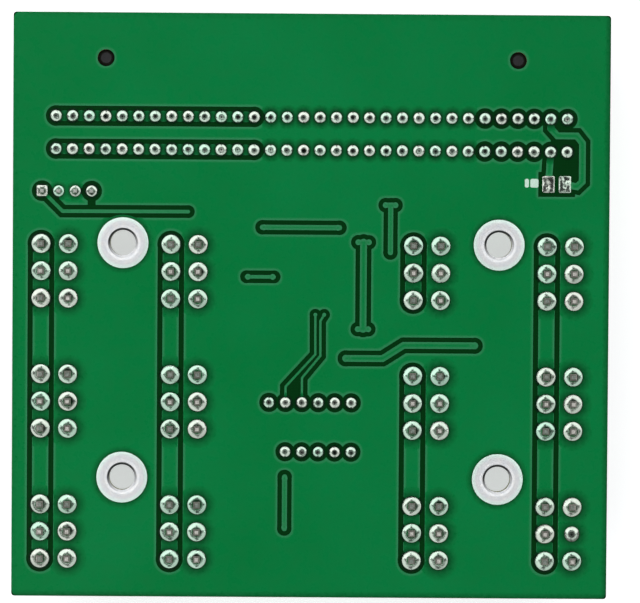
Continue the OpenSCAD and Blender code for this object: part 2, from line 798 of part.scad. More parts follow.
// Digit segments as outlines: three across and four upright, cut to points and slanted
function slanted(p) = [p.x - p.y * slant_share, p.y];
function bar(length) =
    let (half = length / 2, w = segment_w / 2)
    [[-half, 0], [w - half, w], [half - w, w], [half, 0], [half - w, -w], [w - half, -w]];
function flat_bar(x, y) =
    [for (p = bar(digit_w - segment_w - 2 * segment_gap)) slanted([p.x + x, p.y + y])];
function tall_bar(x, y) =
    [for (p = bar((digit_h - segment_w) / 2 - 2 * segment_gap)) slanted([-p.y + x, p.x + y])];
module digit() {
    arm = (digit_w - segment_w) / 2;
    reach = (digit_h - segment_w) / 2;
    for (y = [-reach, 0, reach]) polygon(flat_bar(0, y));
    for (x = [-arm, arm]) for (y = [-reach / 2, reach / 2]) polygon(tall_bar(x, y));
    translate([-digit_w / 2 - dot_d, -reach]) circle(d = dot_d);
}
module digits() {
    for (i = [0 : digit_count - 1]) translate([row_x(i, digit_count, digit_pitch), display_y]) digit();
}

module display_body() {
    face_z = mask_z - display_h;
    color(plastic_colour) difference() {
        translate([0, display_y, face_z]) linear_extrude(display_h)
            square([display_w, display_l], center = true);
        translate([0, 0, face_z - overrun]) linear_extrude(segment_t + overrun) digits();
        for (p = display_places) translate([p.x, p.y, face_z + display_h / 2])
            linear_extrude(display_h) square(display_pin, center = true);
    }
}

module display_segments() {
    color("#d8d4c8") translate([0, 0, mask_z - display_h]) linear_extrude(segment_t) digits();
}

module display_pins() {
    color(tin_colour) for (p = display_places) translate(p)
        square_pin(display_pin, mask_z - display_h / 2, solder_z - tail_end, display_pin / 4);
}

module display_solder_joints() {
    bore = display_drill * crater_share;
    color(solder_colour) for (p = display_places) translate(p)
        open_joint(display_pad, display_drill, bore, crater_depth, [display_pin, display_pin]);
}

// Strip of square blocks with notched corners, one to a pin
module header_base() {
    color(plastic_colour) translate([0, 0, mask_z - header_base_t]) linear_extrude(header_base_t)
    difference() {
        translate([header_x, header_y]) square([header_count * header_pitch, header_pitch], center = true);
        for (p = header_places) translate(p) square(header_pin, center = true);
        for (i = [0 : header_count]) for (s = [-1, 1])
            translate([header_x + (i - header_count / 2) * header_pitch, header_y + s * header_pitch / 2])
                rotate(45) square(header_notch * diagonal_share, center = true);
    }
}

module header_pins() {
    tip_z = mask_z - header_base_t - header_reach;
    color(brass_colour) for (p = header_places) translate(p)
        square_pin(header_pin, tip_z, solder_z + header_tail, header_pin / 3);
}

module header_solder_joints() {
    color(solder_colour) {
        for (p = header_places) translate(p) full_joint(header_pad, header_drill, header_pin);
        translate([header_places[0].x, header_places[0].y, solder_z]) linear_extrude(solder_edge)
            difference() {
                square(header_pad, center = true);
                square(header_pin, center = true);
            }
    }
}

// Lead that leaves its body level, drops to the board and ends in a flat foot
function lead_path(start, level) =
    let (foot = mask_z - lead_t / 2, knee = start + lead_reach * (1 - foot_share))
    [[start, level], [knee, level], [knee, foot], [start + lead_reach, foot]];
module gull_lead(start, level) {
    along_x(lead_w) polygon(strip(lead_path(start, level), lead_t));
}

module chip_lands() {
    color(tin_colour) translate([0, 0, mask_z]) linear_extrude(copper_t) {
        for (x = lead_xs) for (s = [-1, 1])
            translate([x, controller_y + s * (controller_w + lead_reach * (2 - foot_share)) / 2])
                square([lead_w * land_share, lead_reach], center = true);
        for (p = resistor_places) for (s = [-1, 1]) translate([p.x, p.y + s * resistor_l / 2])
            square([resistor_w, resistor_l * cap_share * 2], center = true);
        for (p = capacitor_places) for (s = [-1, 1]) translate([p.x, p.y + s * capacitor_l / 2])
            square([capacitor_w, capacitor_l * cap_share * 2], center = true);
        for (x = regulator_xs)
            translate([x, regulator_y - (regulator_l + lead_reach * (2 - foot_share)) / 2])
                square([lead_w * land_share, lead_reach], center = true);
    }
}

module controller_body() {
    edge = controller_t / 4;
    half = controller_w / 2;
    high = mask_z - controller_gap;
    low = high - controller_t;
    color(plastic_colour) translate([0, controller_y, 0]) difference() {
        along_x(controller_l) polygon([
            [edge - half, low], [half - edge, low], [half, controller_level - lead_t / 2],
            [half, controller_level + lead_t / 2], [half - edge, high], [edge - half, high],
            [-half, controller_level + lead_t / 2], [-half, controller_level - lead_t / 2]
        ]);
        translate([controller_l / 2 - controller_w / 4, half - controller_w / 4, low - overrun])
            cylinder(d = controller_w / 5, h = overrun + lead_t / 2);
    }
}

module controller_leads() {
    color(tin_colour) translate([0, controller_y, 0]) for (x = lead_xs) for (s = [0, 180])
        rotate(s) translate([x, 0, 0]) gull_lead(controller_w / 2, controller_level);
}

module regulator_body() {
    color(plastic_colour) translate([0, regulator_y, mask_z - regulator_t - lead_t])
        linear_extrude(regulator_t) square([regulator_w, regulator_l], center = true);
}

module regulator_leads() {
    foot_z = mask_z - lead_t;
    color(tin_colour) translate([0, regulator_y, foot_z]) linear_extrude(lead_t) {
        square([regulator_w / 2, regulator_l], center = true);
        for (x = regulator_xs) translate([x, -(regulator_l + lead_reach) / 2])
            square([lead_w, lead_reach + regulator_l / 4], center = true);
    }
}

// Body of a chip between its two end caps
module chip_bodies(places, size) {
    for (p = places) translate([p.x, p.y, mask_z - size.z]) linear_extrude(size.z)
        square([size.x, size.y * (1 - 2 * cap_share)], center = true);
}
module chip_caps(places, size) {
    cap_l = size.y * cap_share;
    for (p = places) for (s = [-1, 1]) translate([p.x, p.y + s * (size.y - cap_l) / 2, mask_z - size.z])
        linear_extrude(size.z) square([size.x, cap_l], center = true);
}

module chip_resistors() {
    color("#26262b") chip_bodies(resistor_places, resistor_size);
}
module chip_resistor_caps() {
    color(tin_colour) chip_caps(resistor_places, resistor_size);
}
module chip_capacitors() {
    color("#a9835a") chip_bodies(capacitor_places, capacitor_size);
}
module chip_capacitor_caps() {
    color(tin_colour) chip_caps(capacitor_places, capacitor_size);
}

circuit_board();
solder_side_copper();
component_side_copper();
mounting_rings();
link_pads();
for (i = [0 : outlet_count - 1]) {
    outlet_housing(i);
    outlet_pins(i);
}
outlet_solder_joints();
slot_housing();
slot_contacts_near();
slot_contacts_far();
slot_solder_joints();
display_body();
display_segments();
display_pins();
display_solder_joints();
header_base();
header_pins();
header_solder_joints();
chip_lands();
controller_body();
controller_leads();
regulator_body();
regulator_leads();
chip_resistors();
chip_resistor_caps();
chip_capacitors();
chip_capacitor_caps();
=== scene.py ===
"""Finishes, solder, print, light and camera of a power supply breakout board, seen on its solder side."""
import math
import random

import bmesh
import bpy
from mathutils import Matrix, Vector
from mathutils.bvhtree import BVHTree


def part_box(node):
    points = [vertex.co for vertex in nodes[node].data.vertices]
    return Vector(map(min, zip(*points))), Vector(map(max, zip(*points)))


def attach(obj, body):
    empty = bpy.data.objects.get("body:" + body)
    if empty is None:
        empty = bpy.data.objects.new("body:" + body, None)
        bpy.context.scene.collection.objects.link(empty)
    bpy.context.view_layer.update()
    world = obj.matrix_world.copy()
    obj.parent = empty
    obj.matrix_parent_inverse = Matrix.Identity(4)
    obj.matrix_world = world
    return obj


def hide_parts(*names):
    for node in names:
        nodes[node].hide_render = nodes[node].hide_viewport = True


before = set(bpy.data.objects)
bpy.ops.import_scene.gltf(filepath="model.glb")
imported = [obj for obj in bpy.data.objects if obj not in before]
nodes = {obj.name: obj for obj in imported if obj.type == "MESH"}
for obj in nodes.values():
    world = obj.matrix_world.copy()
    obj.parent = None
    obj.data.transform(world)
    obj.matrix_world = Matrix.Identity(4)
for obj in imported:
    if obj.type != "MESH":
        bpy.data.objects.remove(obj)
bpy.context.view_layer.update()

MM = 0.001
SEED = 20
# Name of the points' own value: above 0 it paints shade, darkening steep and deep places and joint rims;
# below 0 it paints a mint reflection on the tin's rims
SHADE = "shade"
# Level of the solder side: a share of the link pads' height lies in its copper
SUNK_SHARE = 2 / 3
pads_low, pads_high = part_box("link_pads")
SOLDER_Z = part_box("solder_side_copper")[0].z + (pads_high.z - pads_low.z) * SUNK_SHARE


# Colours as they are seen on the object, in the screen's own scale from 0 to 255
def seen(red, green, blue):
    """Linear colour of a screen colour, by the sRGB curve."""
    def linear(value):
        share = value / 255
        return share / 12.92 if share <= 0.04045 else ((share + 0.055) / 1.055) ** 2.4

    return (linear(red), linear(green), linear(blue), 1.0)


# Node helpers
def add(tree, kind, inputs=None, **settings):
    """Adds a node. inputs maps a socket's name or number to a value or to another node's output."""
    made = tree.nodes.new(kind)
    for name, value in settings.items():
        setattr(made, name, value)
    for name, value in (inputs or {}).items():
        if isinstance(value, bpy.types.NodeSocket):
            tree.links.new(value, made.inputs[name])
        else:
            made.inputs[name].default_value = value
    return made


def work_out(tree, operation, *values):
    """Result of a calculation on one or two values."""
    return add(tree, "ShaderNodeMath", dict(enumerate(values)), operation=operation).outputs["Value"]


def own_place(tree):
    """Place of a point in the object's own frame."""
    return add(tree, "ShaderNodeTexCoord").outputs["Object"]


def height_of(tree, vector):
    """Upright part of a place or direction."""
    return add(tree, "ShaderNodeSeparateXYZ", {0: vector}).outputs["Z"]


def surface_normal(tree):
    """Direction in which a surface looks."""
    return add(tree, "ShaderNodeNewGeometry").outputs["Normal"]


def random_share(tree):
    """Random share that is the same all over one solid of an object."""
    return add(tree, "ShaderNodeNewGeometry").outputs["Random Per Island"]


def own_shade(tree):
    """The points' own value."""
    return add(tree, "ShaderNodeAttribute", attribute_name=SHADE).outputs["Fac"]


def noise(tree, grain, detail=3.0, rough=0.55):
    """Noise whose blotches are about grain metres wide, from 0 to 1 and mostly near the middle."""
    made = add(
        tree,
        "ShaderNodeTexNoise",
        {"Vector": own_place(tree), "Scale": 1 / grain, "Detail": detail, "Roughness": rough},
    )
    return made.outputs["Fac"]


def fine_noise(tree, grain):
    """The same with more small detail."""
    return noise(tree, grain, detail=4.0, rough=0.65)


def bands(tree, width, wander, way):
    """Wandering bands of about width metres, one after the other along an axis."""
    made = add(
        tree,
        "ShaderNodeTexWave",
        {"Vector": own_place(tree), "Scale": 1 / width, "Distortion": wander},
        bands_direction=way,
    )
    return made.outputs["Fac"]


def spread(tree, value, low, high, start=0.3, end=0.7):
    """Stretches a value from the range start to end, as a noise's by default, into low to high."""
    made = add(
        tree,
        "ShaderNodeMapRange",
        {"Value": value, "From Min": start, "From Max": end, "To Min": low, "To Max": high},
    )
    return made.outputs["Result"]


def between(tree, share, low, high):
    """Value that goes from low to high as share goes from 0 to 1."""
    return spread(tree, share, low, high, start=0.0, end=1.0)


# Numbers of a mix node's sockets for colours
MIX_SHARE, MIX_FIRST, MIX_SECOND, MIX_RESULT = 0, 6, 7, 2


def mix(tree, share, first, second):
    """Colour that goes from first to second as share goes from 0 to 1."""
    inputs = {MIX_SHARE: share, MIX_FIRST: first, MIX_SECOND: second}
    return add(tree, "ShaderNodeMix", inputs, data_type="RGBA").outputs[MIX_RESULT]


def mottled(tree, grain, first, second):
    """Colour that goes from first to second with a noise."""
    return mix(tree, spread(tree, grain, 0.0, 1.0), first, second)


def edges(tree, radius, gain):
    """Share that is 1 at a sharp edge and falls to 0 at about radius metres from it; gain widens it."""
    rounded = add(tree, "ShaderNodeBevel", {"Radius": radius}, samples=8).outputs["Normal"]
    inputs = {0: rounded, 1: surface_normal(tree)}
    along = add(tree, "ShaderNodeVectorMath", inputs, operation="DOT_PRODUCT").outputs["Value"]
    return spread(tree, along, 1.0, 0.0, start=1.0 - 1.0 / gain, end=1.0)


def facing_up(tree):
    """Share that is 1 on faces that look up and 0 on walls and on faces that look down."""
    return spread(tree, height_of(tree, surface_normal(tree)), 0.0, 1.0, start=0.85, end=0.97)


def facing_down(tree):
    """Share that is 1 on faces that look down and 0 on walls and on faces that look up."""
    return spread(tree, height_of(tree, surface_normal(tree)), 1.0, 0.0, start=-0.9, end=-0.5)


def facing_flat(tree):
    """Share that is 1 on faces that look up or down and 0 on walls."""
    level = work_out(tree, "ABSOLUTE", height_of(tree, surface_normal(tree)))
    return spread(tree, level, 0.0, 1.0, start=0.4, end=0.6)


def bump(tree, height, depth):
    """Normal of a surface whose height moves by depth metres."""
    inputs = {"Height": height, "Distance": depth, "Strength": 1.0}
    return add(tree, "ShaderNodeBump", inputs).outputs["Normal"]


def finish(name, build, **sockets):
    """Material with one Principled shader: build gives its linked sockets, sockets its plain values."""
    made = bpy.data.materials.new(name)
    made.use_nodes = True
    tree = made.node_tree
    shader = tree.nodes["Principled BSDF"]
    for socket, value in sockets.items():
        shader.inputs[socket.replace("_", " ")].default_value = value
    for socket, output in build(tree).items():
        tree.links.new(output, shader.inputs[socket])
    return made


# Finishes: each names its sizes and colours, then builds its nodes
def green_mask():
    """Lacquer over copper, with faint clouds and flecks, and a paler rim at the copper's edges: partly
    thinner lacquer, partly a painted highlight.
    """
    cloud_size, fleck_size, ripple_size = 22 * MM, 1.6 * MM, 0.9 * MM
    ripple_depth = 0.004 * MM
    # The rim at the copper's edges is paler where the lacquer runs thin, and further brightened as a painted
    # highlight of that slope
    rim_highlight_width, rim_highlight_gain = 0.6 * MM, 45.0
    dark, light = seen(0, 126, 61), seen(6, 132, 69)
    speck, rim = seen(0, 114, 52), seen(60, 142, 97)
    most_speck = 0.2

    def build(tree):
        cloud = noise(tree, cloud_size, detail=2.0)
        fleck = spread(tree, noise(tree, fleck_size), 0.0, 1.0)
        field = mix(tree, between(tree, fleck, 0.0, most_speck), mottled(tree, cloud, dark, light), speck)
        return {
            "Base Color": mix(tree, edges(tree, rim_highlight_width, rim_highlight_gain), field, rim),
            "Roughness": between(tree, fleck, 0.24, 0.34),
            "Normal": bump(tree, noise(tree, ripple_size), ripple_depth),
        }

    return finish("green_mask", build, Specular_IOR_Level=0.2)


def painted_shade_lip():
    """The same lacquer, darkened towards painted shade as the points' shade rises."""
    fleck_size = 0.6 * MM
    thick_dark, thick_light = seen(0, 122, 58), seen(6, 130, 67)
    shade_dark, shade_light = seen(0, 28, 8), seen(0, 44, 18)

    def build(tree):
        fleck = spread(tree, noise(tree, fleck_size), 0.0, 1.0)
        thick = mix(tree, fleck, thick_dark, thick_light)
        # thin is the colour of the painted shade
        thin = mix(tree, fleck, shade_dark, shade_light)
        return {
            "Base Color": mix(tree, own_shade(tree), thick, thin),
            "Roughness": between(tree, fleck, 0.26, 0.36),
        }

    return finish("painted_shade_lip", build, Specular_IOR_Level=0.2)


def laminate():
    """Glass cloth under lacquer on the faces, and its bare layers on the cut edges and in the holes."""
    thread, thread_wander = 1.4 * MM, 1.2
    layer, layer_wander = 0.55 * MM, 0.6
    weave_depth = 0.006 * MM
    dark, light = seen(0, 53, 14), seen(2, 66, 24)
    resin, glass = seen(122, 128, 84), seen(168, 166, 118)
    most_light = 0.3

    def build(tree):
        cloth = work_out(tree, "MULTIPLY", *(bands(tree, thread, thread_wander, way) for way in ("X", "Y")))
        face = mix(tree, between(tree, cloth, 0.0, most_light), dark, light)
        cut = mix(tree, bands(tree, layer, layer_wander, "Z"), resin, glass)
        flat = facing_flat(tree)
        return {
            "Base Color": mix(tree, flat, cut, face),
            "Roughness": between(tree, flat, 0.7, 0.35),
            "Normal": bump(tree, cloth, weave_depth),
        }

    return finish("laminate", build, Specular_IOR_Level=0.08)


def tin():
    """Mottled tin, with a painted mint reflection of the green lacquer on its rims and painted shade on its
    ledges.
    """
    mottle_size, mottle_depth = 0.8 * MM, 0.04 * MM
    grey, white = seen(238, 242, 247), seen(255, 255, 255)
    # mint is the painted reflection and deep the painted shade, both set by the points' shade
    mint, deep = seen(224, 255, 241), seen(18, 24, 22)

    def build(tree):
        shade = own_shade(tree)
        mottle = fine_noise(tree, mottle_size)
        field = mix(tree, spread(tree, mottle, 0.0, 1.0, start=0.35, end=0.65), grey, white)
        bright = mix(tree, spread(tree, shade, 1.0, 0.0, start=-1.0, end=0.0), field, mint)
        return {
            "Base Color": mix(tree, shade, bright, deep),
            "Roughness": spread(tree, mottle, 0.46, 0.32),
            "Normal": bump(tree, mottle, mottle_depth),
        }

    return finish("tin", build, Metallic=0.3)


def solder():
    """Rippled solder, from mint to cream from joint to joint, with painted shade where the points' shade says
    so.
    """
    ripple_size, ripple_depth = 0.45 * MM, 0.035 * MM
    mint, cream = seen(178, 214, 193), seen(214, 216, 207)
    # dull is a mottle of the ripples; deep is the colour of the painted shade
    dull, deep = seen(160, 188, 171), seen(22, 26, 23)
    most_dull = 0.45

    def build(tree):
        joint = random_share(tree)
        ripple = noise(tree, ripple_size)
        body = mix(tree, spread(tree, ripple, 0.0, most_dull), mix(tree, joint, mint, cream), dull)
        return {
            "Base Color": mix(tree, own_shade(tree), body, deep),
            "Roughness": between(tree, joint, 0.17, 0.22),
            "Normal": bump(tree, ripple, ripple_depth),
        }

    return finish("solder", build, Metallic=1.0)


def pin_metal():
    """Plated pins whose cut ends carry a painted highlight on most pins and are darker, as painted shade, on
    the rest.
    """
    grain_size, grain_depth = 0.25 * MM, 0.01 * MM
    # The cut ends' bright colours are a painted highlight, their darker colours painted shade
    highlight_end_dark, highlight_end_light = seen(168, 165, 158), seen(224, 221, 214)
    shaded_end_dark, shaded_end_light = seen(98, 108, 100), seen(150, 159, 151)
    plate_dark, plate_light = seen(138, 134, 128), seen(170, 166, 160)

    def build(tree):
        grain = noise(tree, grain_size)
        cut = facing_up(tree)
        bright = mottled(tree, grain, highlight_end_dark, highlight_end_light)
        dull = mottled(tree, grain, shaded_end_dark, shaded_end_light)
        shaded_end_share = spread(tree, random_share(tree), 0.0, 1.0, start=0.55, end=0.95)
        end = mix(tree, shaded_end_share, bright, dull)
        return {
            "Base Color": mix(tree, cut, mottled(tree, grain, plate_dark, plate_light), end),
            "Roughness": between(tree, cut, 0.3, 0.5),
            "Metallic": between(tree, cut, 0.75, 0.1),
            "Normal": bump(tree, grain, grain_depth),
        }

    return finish("pin_metal", build)


def contact_metal():
    """Gilt contacts, tinned from just under the solder side up."""
    grain_size, grain_depth = 0.6 * MM, 0.01 * MM
    tin_start, tin_end = SOLDER_Z - 0.5 * MM, SOLDER_Z - 0.4 * MM
    gilt_dark, gilt_light = seen(196, 158, 84), seen(222, 190, 120)
    tail = seen(206, 208, 202)

    def build(tree):
        grain = noise(tree, grain_size)
        tinned = spread(tree, height_of(tree, own_place(tree)), 0.0, 1.0, start=tin_start, end=tin_end)
        return {
            "Base Color": mix(tree, tinned, mottled(tree, grain, gilt_dark, gilt_light), tail),
            "Metallic": between(tree, tinned, 1.0, 0.3),
            "Roughness": spread(tree, grain, 0.2, 0.34),
            "Normal": bump(tree, grain, grain_depth),
        }

    return finish("contact_metal", build)


def moulded(name, dark, pale, grain_size, rough):
    """Moulded plastic with a fine grain and a painted highlight along its edges."""
    cloud_size, grain_depth = 6 * MM, 0.012 * MM
    # Edges are paler as a painted highlight
    edge_highlight_width, edge_highlight_gain = 0.15 * MM, 4.0
    most_pale, rough_swing = 0.5, 0.07

    def build(tree):
        cloud = noise(tree, cloud_size, detail=2.0)
        grain = fine_noise(tree, grain_size)
        body = mix(tree, spread(tree, cloud, 0.0, most_pale), dark, pale)
        return {
            "Base Color": mix(tree, edges(tree, edge_highlight_width, edge_highlight_gain), body, pale),
            "Roughness": spread(tree, grain, rough - rough_swing, rough + rough_swing),
            "Normal": bump(tree, grain, grain_depth),
        }

    return finish(name, build)


def display_plastic():
    """White plastic case with a black front, which looks down."""
    grain_size, grain_depth = 0.3 * MM, 0.01 * MM
    wall_dark, wall_light = seen(206, 206, 200), seen(226, 226, 221)
    front_dark, front_light = seen(34, 35, 38), seen(48, 49, 52)

    def build(tree):
        grain = fine_noise(tree, grain_size)
        wall = mottled(tree, grain, wall_dark, wall_light)
        front = mottled(tree, grain, front_dark, front_light)
        return {
            "Base Color": mix(tree, facing_down(tree), wall, front),
            "Roughness": spread(tree, grain, 0.38, 0.5),
            "Normal": bump(tree, grain, grain_depth),
        }

    return finish("display_plastic", build)


def segment_plastic():
    """Milky plastic of the display's segments, unlit."""
    cloud_size, glow_depth = 0.8 * MM, 0.4 * MM
    dark, light = seen(206, 202, 190), seen(226, 223, 212)

    def build(tree):
        cloud = noise(tree, cloud_size)
        return {
            "Base Color": mottled(tree, cloud, dark, light),
            "Roughness": spread(tree, cloud, 0.3, 0.42),
        }

    return finish("segment_plastic", build, Subsurface_Weight=0.15, Subsurface_Scale=glow_depth)


def resistor_body():
    """White ceramic with a black glaze on its outer face, which looks down."""
    grain_size = 0.15 * MM
    ceramic_dark, ceramic_light = seen(214, 212, 204), seen(232, 230, 224)
    glaze_dark, glaze_light = seen(22, 22, 24), seen(36, 36, 40)

    def build(tree):
        outer = facing_down(tree)
        grain = noise(tree, grain_size)
        ceramic = mottled(tree, grain, ceramic_dark, ceramic_light)
        glaze = mottled(tree, grain, glaze_dark, glaze_light)
        return {
            "Base Color": mix(tree, outer, ceramic, glaze),
            "Roughness": between(tree, outer, 0.55, 0.3),
        }

    return finish("resistor_body", build)


def capacitor_body():
    """Brown ceramic."""
    grain_size = 0.35 * MM
    dark, light = seen(150, 112, 74), seen(176, 138, 96)

    def build(tree):
        grain = noise(tree, grain_size)
        return {
            "Base Color": mottled(tree, grain, dark, light),
            "Roughness": spread(tree, grain, 0.35, 0.5),
        }

    return finish("capacitor_body", build)


def print_ink():
    """White ink that lets a little of the green through."""
    grain_size = 0.2 * MM
    thin, thick = seen(196, 238, 214), seen(230, 248, 238)

    def build(tree):
        grain = noise(tree, grain_size)
        return {
            "Base Color": mottled(tree, grain, thin, thick),
            "Roughness": spread(tree, grain, 0.45, 0.6),
        }

    return finish("print_ink", build)


GREEN_MASK = green_mask()
PAINTED_SHADE_LIP = painted_shade_lip()
LAMINATE = laminate()
TIN = tin()
SOLDER = solder()
PIN_METAL = pin_metal()
CONTACT_METAL = contact_metal()
BLACK_PLASTIC = moulded("black_plastic", seen(20, 20, 22), seen(38, 38, 41), grain_size=0.35 * MM, rough=0.42)
CHIP_PLASTIC = moulded("chip_plastic", seen(30, 30, 32), seen(46, 46, 48), grain_size=0.12 * MM, rough=0.58)
DISPLAY_PLASTIC = display_plastic()
SEGMENT_PLASTIC = segment_plastic()
RESISTOR_BODY = resistor_body()
CAPACITOR_BODY = capacitor_body()
PRINT_INK = print_ink()

# Each CAD node's finish, by the start of its name
FINISHES = {
    "circuit_board": LAMINATE,
    "solder_side_copper": GREEN_MASK,
    "component_side_copper": GREEN_MASK,
    "mounting_rings": TIN,
    "link_pads": TIN,
    "outlet_housing": BLACK_PLASTIC,
    "outlet_pins": PIN_METAL,
    "outlet_solder": SOLDER,
    "slot_housing": BLACK_PLASTIC,
    "slot_contacts": CONTACT_METAL,
    "slot_solder": SOLDER,
    "display_body": DISPLAY_PLASTIC,
    "display_segments": SEGMENT_PLASTIC,
    "display_pins": PIN_METAL,
    "display_solder": SOLDER,
    "header_base": BLACK_PLASTIC,
    "header_pins": CONTACT_METAL,
    "header_solder": SOLDER,
    "chip_lands": TIN,
    "controller_body": CHIP_PLASTIC,
    "controller_leads": TIN,
    "regulator_body": CHIP_PLASTIC,
    "regulator_leads": TIN,
    "chip_resistors": RESISTOR_BODY,
    "chip_resistor_caps": TIN,
    "chip_capacitors": CAPACITOR_BODY,
    "chip_capacitor_caps": TIN,
}
# Angles from which an edge is shaded sharp, on a CAD node and on a new piece
NODE_SHARP = math.radians(30)
PIECE_SHARP = math.radians(50)


def dress_nodes():
    """Gives every CAD node its finish and smooth curves."""
    for name, piece in nodes.items():
        stem = max((s for s in FINISHES if name.startswith(s)), key=len)
        piece.data.materials.clear()
        piece.data.materials.append(FINISHES[stem])
        piece.data.shade_smooth()
        piece.data.set_sharp_from_angle(angle=NODE_SHARP)


# Pieces
def new_object(name, data):
    """Object of some data, put in the scene."""
    made = bpy.data.objects.new(name, data)
    bpy.context.scene.collection.objects.link(made)
    return made


def shaded_mesh():
    """Empty mesh whose points have the shade as their own value."""
    mesh = bmesh.new()
    mesh.verts.layers.float.new(SHADE)
    return mesh


def place_piece(name, mesh, material, node=None):
    """Makes an object of a mesh, which rides with the board and may stand for a CAD node."""
    bmesh.ops.recalc_face_normals(mesh, faces=mesh.faces)
    data = bpy.data.meshes.new(name)
    mesh.to_mesh(data)
    mesh.free()
    data.materials.append(material)
    data.shade_smooth()
    data.set_sharp_from_angle(angle=PIECE_SHARP)
    piece = new_object(name, data)
    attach(piece, "root")
    if node:
        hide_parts(node)


# Distance at which points of a CAD mesh count as one, and the digits by which its solids are put in order
WELD = 0.0001 * MM
PLACE_DIGITS = 5


def islands(name):
    """Lowest and highest corners of the separate solids of a CAD node, in order of place."""
    mesh = bmesh.new()
    mesh.from_mesh(nodes[name].data)
    bmesh.ops.remove_doubles(mesh, verts=mesh.verts, dist=WELD)
    found = []
    left = set(mesh.verts)
    while left:
        ring = [left.pop()]
        corners = []
        while ring:
            vert = ring.pop()
            corners.append(vert.co.copy())
            for edge in vert.link_edges:
                other = edge.other_vert(vert)
                if other in left:
                    left.remove(other)
                    ring.append(other)
        low = Vector(min(c[i] for c in corners) for i in range(3))
        high = Vector(max(c[i] for c in corners) for i in range(3))
        found.append((low, high))
    mesh.free()
    return sorted(found, key=lambda box: [round(value, PLACE_DIGITS) for value in box[0]])


# Rings of points
SIDES = 48
ANGLES = [2 * math.pi * i / SIDES for i in range(SIDES)]
# Numbers of waves around an uneven outline, and the range of each one's share of the unevenness
WAVES = (1, 2, 3)
WAVE_SHARES = (0.3, 1.0)
# Power of the curve that rounds a square's corners
ROUND_POWER = 7


def add_rings(mesh, rings, closed):
    """Joins rings of points into a skin. If closed, the last joins the first, else both ends are capped."""
    shade = mesh.verts.layers.float[SHADE]
    made = []
    for ring in rings:
        made.append([mesh.verts.new(point) for point, _ in ring])
        for vert, (_, tone) in zip(made[-1], ring):
            vert[shade] = tone
    pairs = list(zip(made, made[1:]))
    if closed:
        pairs.append((made[-1], made[0]))
    for lower, upper in pairs:
        for i in range(SIDES):
            j = (i + 1) % SIDES
            mesh.faces.new((lower[i], lower[j], upper[j], upper[i]))
    if not closed:
        mesh.faces.new(list(reversed(made[0])))
        mesh.faces.new(made[-1])


def turn(centre, radius_at, height_at, tone_at=lambda angle: 0.0):
    """Ring of points around centre, with a radius, a height and a tone for each angle."""
    ring = []
    for angle in ANGLES:
        reach = radius_at(angle)
        point = (
            centre.x + reach * math.cos(angle),
            centre.y + reach * math.sin(angle),
            SOLDER_Z + height_at(angle),
        )
        ring.append((point, tone_at(angle)))
    return ring


def wobble(chance, size):
    """Smooth random share of an angle, about size large, for an uneven outline."""
    waves = [
        (n, chance.uniform(0, 2 * math.pi), chance.uniform(*WAVE_SHARES) * size / n)
        for n in WAVES
    ]
    return lambda angle: sum(a * math.sin(n * angle + start) for n, start, a in waves)


def square(half):
    """Distance from the middle of a square to its outline, for each angle."""
    return lambda angle: half / max(abs(math.cos(angle)), abs(math.sin(angle)))


def round_square(half):
    """The same for a square with round corners."""
    def outline(angle):
        parts = abs(math.cos(angle)) ** ROUND_POWER + abs(math.sin(angle)) ** ROUND_POWER
        return half / parts ** (1 / ROUND_POWER)

    return outline


# Solder joints
# Depth of a joint's rim below the copper's face, and of the solder in the drilled hole
ROOT = 0.03 * MM
PLUG = 0.6 * MM
# How much narrower a joint or ring is than its pad
JOINT_TRIM = 0.03 * MM
# Darkness of the thin rim of a joint, and the share of its slope that it fades over
RIM_TONE, RIM_FADE = 0.5, 0.3


def rim_tone(share):
    """Darkness near the thin rim of a joint, at a share of the way up its slope."""
    return RIM_TONE * max(0.0, 1 - share / RIM_FADE)


# Solder that climbs a square pin; a pair of numbers is a range from joint to joint
CLIMB_STEPS = 7
CLIMB_WOBBLE = 0.025
# Foot of the climb: its distance and its shift as shares of the pin's half width
FOOT_SHARES = (1.58, 1.82)
FOOT_SHIFT_SHARE = 0.14
# Least distance of the foot as a share of the distance to the pin's outline
FOOT_LEAST_SHARE = 1.04
# Share by which the foot is further out at the flats of a pin's sides and nearer at its corners
FOOT_FLAT_SHARE = 0.05
PIN_SIDES = 4
# Slope of the pad's solder at its rim, half of its growth to the foot, and slope where the climb starts
LOW_SLOPES = (0.17, 0.24)
BENDS = (0.152, 0.228)
CLIMB_SLOPES = (0.4675, 0.6325)
# Painted shade beside the pin: its darkness, its mean and swing around the pin, and how far its darkest side
# turns, in degrees
DARKNESS = (0.2, 1.0)
DARK_MEAN, DARK_SWING = 0.35, 0.65
DARK_TURN = 45
# Share of that darkness at the foot, and the power by which it grows towards it
DARK_START, DARK_POWER = 0.5, 4
# Choices for the painted shade on the slope over the pad towards -Y
SOUTH_SHADES = (0.0, 0.05, 0.1, 0.25)
# Share of the pin's width at which the solder meets it in the hole
SEAT_SHARE = 0.97


